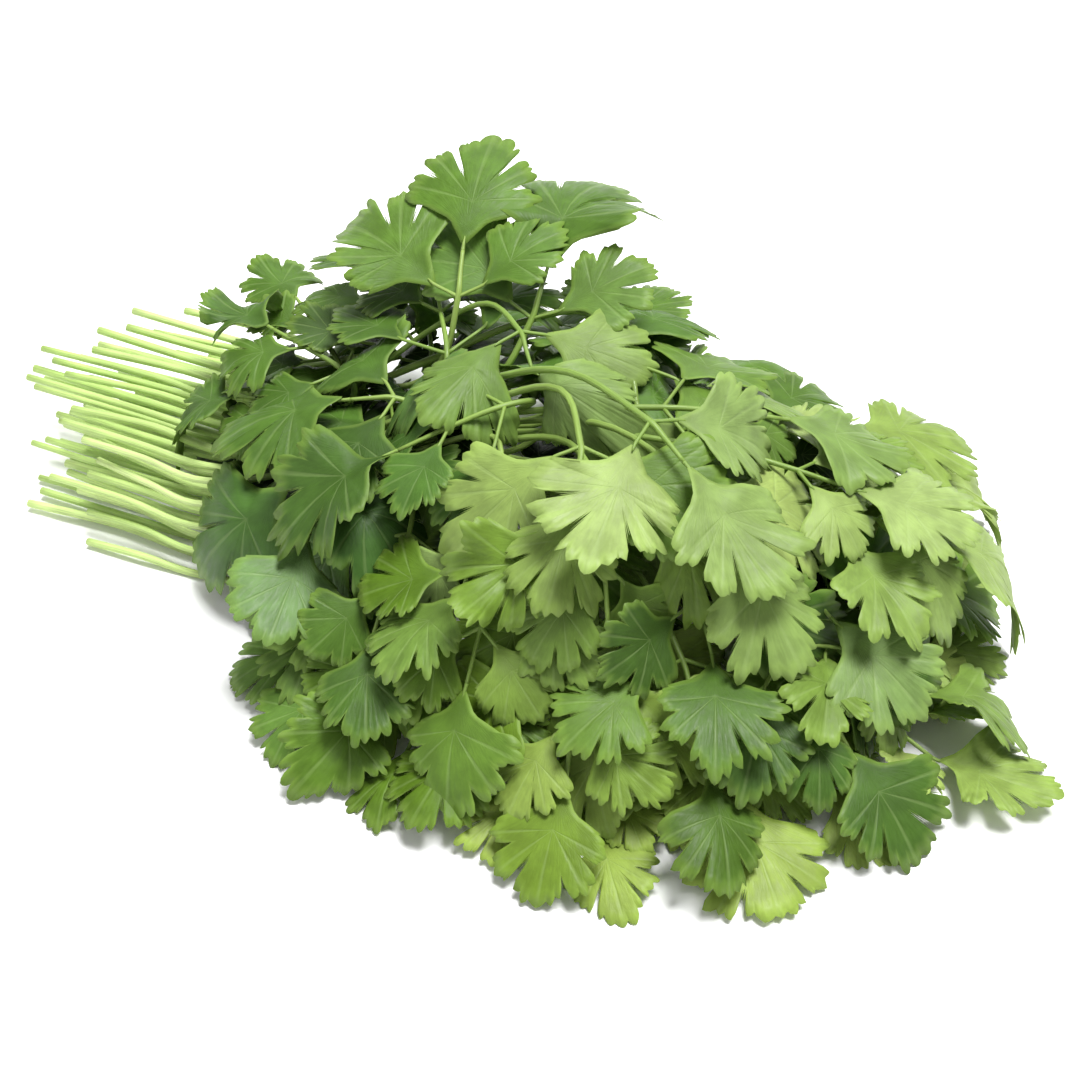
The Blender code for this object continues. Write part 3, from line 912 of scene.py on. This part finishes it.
def spread_blades(sprigs):
    """Gives every sprig its stalk's line and its blades, and keeps most blades apart."""
    blades = []
    for sprig in sprigs:
        dice = random.Random(sprig.number + SWAY_SEEDS)
        route, widths = sprig.route
        sway = Vector((0.0, dice.uniform(-1, 1), dice.uniform(0, 1))) * STALK_SWAY
        bowed = [route[0], route[0].lerp(route[1], STALK_SWAY_PLACE) + sway, *route[1:]]
        sprig.line, sprig.widths = smooth_line(bowed, [widths[0], *widths], STALK_SMOOTHING)
        sprig.blades = []
        for index, leaf in enumerate(sprig.leaflets):
            blade = settled_blade(leaf, leaflet_look(sprig, index), blades)
            sprig.blades.append(blade)
            blades.append(blade)
    for sprig in sprigs:
        found = low_blades(sprig, blades)
        sprig.blades += found
        blades += found


def grow_sprig(sprig):
    """One sprig as one mesh: its stalk, its side stalks and its leaflets."""
    growth = Growth()
    tone = random.Random(sprig.number + STALK_TONE_SEEDS).uniform(*STALK_TONES)
    last = len(sprig.line) - 1
    paints = [(tone, 0.0, i / last, 0.0) for i in range(last + 1)]
    grow_tube(growth, sprig.line, sprig.widths, STALK_SIDES, paints)
    for blade in sprig.blades:
        leaf = blade.leaf
        inside = blade_point(leaf, SIDE_STALK_INSIDE, 0.0)
        run = [leaf.foot, leaf.foot.lerp(leaf.base, 0.5), leaf.base, inside]
        radii = [SIDE_STALK_RADIUS * share for share in SIDE_STALK_SHAPE]
        line, sizes = smooth_line(run, radii, SIDE_STALK_SMOOTHING)
        grow_tube(growth, line, sizes, SIDE_STALK_SIDES, [(tone, 0.0, 1.0, 0.0)] * len(line))
        grow_blade(growth, blade)
    return growth


def make_piece(sprig, materials):
    """Makes a sprig's object, with what its materials read in two attributes."""
    growth = grow_sprig(sprig)
    mesh = bpy.data.meshes.new("coriander_" + sprig.name)
    mesh.from_pydata(growth.points, [], growth.faces)
    for material in materials:
        mesh.materials.append(material)
    mesh.polygons.foreach_set("material_index", growth.materials)
    mesh.polygons.foreach_set("use_smooth", [True] * len(growth.faces))
    paint = mesh.attributes.new("paint", "FLOAT_COLOR", "POINT")
    paint.data.foreach_set("color", [value for row in growth.paint for value in row])
    place = mesh.attributes.new("place", "FLOAT_VECTOR", "POINT")
    place.data.foreach_set("vector", [value for row in growth.place for value in row])
    mesh.update()
    piece = bpy.data.objects.new("coriander_" + sprig.name, mesh)
    bpy.context.scene.collection.objects.link(piece)
    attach(piece, "root")
    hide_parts(sprig.name)


# ------------------------------------------------------------------------------ materials

# A leaf's greens by tone, each from the bluish to the yellowish one, the darkest of which also
# paints the shade on the low leaves; those of its underside and its veins; its painted rim
# highlight; and what the light takes on in passing through it.
LEAF_DARK = ((0.013, 0.041, 0.004), (0.024, 0.056, 0.002))
LEAF_MIDDLING = ((0.080, 0.188, 0.032), (0.138, 0.240, 0.008))
LEAF_BRIGHT = ((0.335, 0.450, 0.200), (0.405, 0.520, 0.095))
LEAF_UNDERSIDE = ((0.36, 0.48, 0.21), (0.45, 0.57, 0.14))
LEAF_VEIN = (0.42, 0.56, 0.22)
LEAF_RIM_HIGHLIGHT = (0.42, 0.62, 0.12)
LEAF_GLOW = (1.15, 1.2, 0.45)
LEAF_THINNESS = 0.26
# A stalk's colours at its cut end, near its leaves and on the cut itself.
STALK_PALE = ((0.46, 0.66, 0.17), (0.70, 0.84, 0.36))
STALK_GREEN = ((0.20, 0.34, 0.05), (0.34, 0.48, 0.11))
STALK_PITH = (0.72, 0.82, 0.48)
STALK_THINNESS = 0.25


class Nodes:
    """A short way to write a material's nodes."""

    def __init__(self, name):
        self.material = bpy.data.materials.new(name)
        self.material.use_nodes = True
        self.tree = self.material.node_tree
        self.shader = self.tree.nodes["Principled BSDF"]
        self.output = self.tree.nodes["Material Output"]

    def put(self, socket, value):
        if isinstance(value, bpy.types.NodeSocket):
            self.tree.links.new(value, socket)
        else:
            socket.default_value = value

    def node(self, kind, inputs=(), **settings):
        made = self.tree.nodes.new(kind)
        for key, value in settings.items():
            setattr(made, key, value)
        for key, value in dict(inputs).items():
            self.put(made.inputs[key], value)
        return made

    def maths(self, operation, a, b):
        return self.node("ShaderNodeMath", {0: a, 1: b}, operation=operation).outputs[0]

    def weighed(self, a, weight, b, other):
        """The sum of two values, each times its weight."""
        first = self.maths("MULTIPLY", a, weight)
        return self.maths("ADD", first, self.maths("MULTIPLY", b, other))

    def mix(self, share, a, b, blend="MIX"):
        made = self.node("ShaderNodeMix", data_type="RGBA", blend_type=blend)
        self.put(made.inputs[0], share)
        for socket, value in ((made.inputs[6], a), (made.inputs[7], b)):
            self.put(socket, (*value, 1.0) if isinstance(value, tuple) else value)
        return made.outputs[2]

    def step(self, value, low, high, start=0.0, end=1.0, smooth=True):
        made = self.node("ShaderNodeMapRange", {0: value, 1: low, 2: high, 3: start, 4: end})
        made.interpolation_type = "SMOOTHSTEP" if smooth else "LINEAR"
        return made.outputs[0]

    def noise(self, vector, scale, detail):
        made = self.node("ShaderNodeTexNoise", {"Vector": vector, "Scale": scale, "Detail": detail})
        return made.outputs[0]

    def painted(self, name):
        return self.node("ShaderNodeAttribute", attribute_name=name)

    def shaded(self, colour, shade):
        """The colour, darker or lighter by a grey value."""
        grey = self.node("ShaderNodeCombineColor", {0: shade, 1: shade, 2: shade}).outputs[0]
        return self.mix(1.0, colour, grey, "MULTIPLY")

    def finish(self, colour, roughness, bump, thinness, glow):
        """The surface: a share of the light passes through it and takes on the glow's colour."""
        self.put(self.shader.inputs["Base Color"], colour)
        self.put(self.shader.inputs["Roughness"], roughness)
        self.put(self.shader.inputs["Normal"], bump)
        thin = self.node("ShaderNodeBsdfTranslucent", {"Color": glow, "Normal": bump})
        both = self.node(
            "ShaderNodeMixShader", {0: thinness, 1: self.shader.outputs[0], 2: thin.outputs[0]}
        )
        self.put(self.output.inputs["Surface"], both.outputs[0])
        return self.material


def leaf_material():
    """Reads "paint" (tone, hue, underside, rib) and "place" (x, y and ring on the blade)."""
    n = Nodes("coriander_leaf")
    paint = n.painted("paint")
    parts = n.node("ShaderNodeSeparateColor", {0: paint.outputs["Color"]})
    tone, hue, under = parts.outputs[0], parts.outputs[1], parts.outputs[2]
    rib = paint.outputs["Alpha"]
    place = n.node("ShaderNodeSeparateXYZ", {0: n.painted("place").outputs["Vector"]})
    x, y, rim = place.outputs[0], place.outputs[1], place.outputs[2]

    # Veins fan out from near the base; finer ones run between them.
    ahead = n.maths("SUBTRACT", x, VEIN_CENTRE - 0.25)
    turn = n.maths("MULTIPLY", n.maths("ARCTAN2", y, ahead), 16.0)
    square = n.maths("ADD", n.maths("MULTIPLY", ahead, ahead), n.maths("MULTIPLY", y, y))
    away = n.maths("MULTIPLY", n.maths("POWER", square, 0.5), 5.0)
    fan = n.node("ShaderNodeCombineXYZ", {0: turn, 1: away, 2: n.maths("MULTIPLY", tone, 40.0)})
    streaks = n.noise(fan.outputs[0], 1.6, 3.0)
    vein = n.step(n.maths("SUBTRACT", rib, n.maths("MULTIPLY", rim, 0.3)), 0.3, 0.7)
    coordinates = n.node("ShaderNodeTexCoord").outputs["Object"]
    mottle = n.noise(coordinates, 130.0, 4.0)
    grain = n.noise(coordinates, 900.0, 2.0)

    # The upper side by its tone, the underside paler, and both with patches and streaks.
    upper = n.mix(
        n.step(tone, 0.0, 0.5, smooth=False), n.mix(hue, *LEAF_DARK), n.mix(hue, *LEAF_MIDDLING)
    )
    upper = n.mix(n.step(tone, 0.5, 1.0, smooth=False), upper, n.mix(hue, *LEAF_BRIGHT))
    lower = n.mix(0.5, upper, n.mix(hue, *LEAF_UNDERSIDE))
    colour = n.mix(under, upper, lower)
    colour = n.shaded(colour, n.step(n.weighed(mottle, 0.75, streaks, 0.3), 0.35, 0.75, 0.8, 1.16))
    colour = n.mix(n.maths("MULTIPLY", vein, 0.16), colour, LEAF_VEIN)
    # Painted highlight: the blade's outermost rim is lightened towards a pale yellow-green, as where
    # light shines through a curled edge.
    edge = n.step(rim, 0.86, 1.0)
    colour = n.mix(n.maths("MULTIPLY", edge, 0.25), colour, LEAF_RIM_HIGHLIGHT)

    # The veins are sunk and the rest is finely ribbed and grainy.
    height = n.weighed(streaks, 0.7, grain, 0.25)
    height = n.maths("SUBTRACT", height, n.maths("MULTIPLY", vein, 0.5))
    bump = n.node("ShaderNodeBump", {"Height": height, "Strength": 0.35, "Distance": 0.0006})
    n.put(n.shader.inputs["Specular IOR Level"], 0.3)
    roughness = n.step(streaks, 0.3, 0.7, 0.42, 0.58)
    glow = n.mix(1.0, colour, LEAF_GLOW, "MULTIPLY")
    return n.finish(colour, roughness, bump.outputs[0], LEAF_THINNESS, glow)


def stalk_material():
    """Reads "paint" (tone, -, share along, pith) and "place" (round it and mm along it)."""
    n = Nodes("coriander_stalk")
    paint = n.painted("paint")
    parts = n.node("ShaderNodeSeparateColor", {0: paint.outputs["Color"]})
    tone, along = parts.outputs[0], parts.outputs[2]
    pith = paint.outputs["Alpha"]
    place = n.painted("place").outputs["Vector"]
    stretched = n.node("ShaderNodeVectorMath", {0: place, 1: (3.0, 3.0, 0.05)}, operation="MULTIPLY")
    streaks = n.noise(stretched.outputs[0], 1.4, 3.0)
    patches = n.noise(n.node("ShaderNodeTexCoord").outputs["Object"], 60.0, 2.0)
    colour = n.mix(n.step(along, 0.1, 0.75), n.mix(tone, *STALK_PALE), n.mix(tone, *STALK_GREEN))
    colour = n.shaded(colour, n.step(n.weighed(streaks, 0.7, patches, 0.3), 0.3, 0.7, 0.75, 1.15))
    colour = n.mix(n.maths("MULTIPLY", pith, 0.7), colour, STALK_PITH)
    bump = n.node("ShaderNodeBump", {"Height": streaks, "Strength": 0.4, "Distance": 0.0004})
    roughness = n.step(patches, 0.3, 0.7, 0.32, 0.5)
    return n.finish(colour, roughness, bump.outputs[0], STALK_THINNESS, colour)


# -------------------------------------------------------------------- floor, light, camera

FLOOR_SIZE = 60.0
FLOOR_PALE = ((0.93, 0.93, 0.93), (0.96, 0.96, 0.96))
WORLD_STRENGTH = 0.32
# Lamps that face the bunch: kind, place, power, and a sun's angle or a disk's width.
LAMPS = {
    "key": ("SUN", (0.25, 0.2, 1.4), 5.5, math.radians(26)),
    "front_fill": ("AREA", (-0.9, -0.9, 0.9), 4.0, 1.2),
    "rear_fill": ("AREA", (-0.5, 1.2, 0.9), 6.0, 1.2),
}


def make_floor():
    bpy.ops.mesh.primitive_plane_add(size=FLOOR_SIZE, location=(0.0, 0.0, 0.0))
    floor = bpy.context.object
    floor.name = "floor"
    n = Nodes("floor_paper")
    speckle = n.noise(n.node("ShaderNodeTexCoord").outputs["Object"], 40.0, 3.0)
    n.put(n.shader.inputs["Base Color"], n.mix(speckle, *FLOOR_PALE))
    n.put(n.shader.inputs["Roughness"], 0.9)
    floor.data.materials.append(n.material)


def make_lamp(name, kind, place, power, size):
    lamp = bpy.data.lights.new(name, kind)
    lamp.energy = power
    if kind == "SUN":
        lamp.angle = size
    else:
        lamp.shape = "DISK"
        lamp.size = size
    made = bpy.data.objects.new(name, lamp)
    made.location = place
    made.rotation_euler = (-Vector(place)).to_track_quat("-Z", "Y").to_euler()
    bpy.context.scene.collection.objects.link(made)


def make_light():
    world = bpy.data.worlds.new("studio")
    world.use_nodes = True
    background = world.node_tree.nodes["Background"]
    background.inputs["Color"].default_value = (1.0, 1.0, 1.0, 1.0)
    background.inputs["Strength"].default_value = WORLD_STRENGTH
    bpy.context.scene.world = world
    for name, lamp in LAMPS.items():
        make_lamp(name, *lamp)


CAMERA_AZIMUTH = 22
CAMERA_ELEVATION = 44
CAMERA_DISTANCE = 0.6
CAMERA_LENS = 68
CAMERA_TARGET = PLAN_SHIFT + Vector((0.0, 0.0, 35.0)) * MM


def make_camera():
    turn, rise = math.radians(CAMERA_AZIMUTH), math.radians(CAMERA_ELEVATION)
    back = Vector((math.sin(turn) * math.cos(rise), -math.cos(turn) * math.cos(rise), math.sin(rise)))
    camera = bpy.data.objects.new("camera", bpy.data.cameras.new("camera"))
    camera.location = CAMERA_TARGET + back * CAMERA_DISTANCE
    camera.rotation_euler = (-back).to_track_quat("-Z", "Y").to_euler()
    camera.data.lens = CAMERA_LENS
    bpy.context.scene.collection.objects.link(camera)
    bpy.context.scene.camera = camera


def main():
    materials = (leaf_material(), stalk_material())
    sprigs = settled_bunch()
    spread_blades(sprigs)
    for sprig in sprigs:
        make_piece(sprig, materials)
    make_floor()
    make_light()
    make_camera()
    bpy.context.scene.view_settings.view_transform = "Standard"


main()
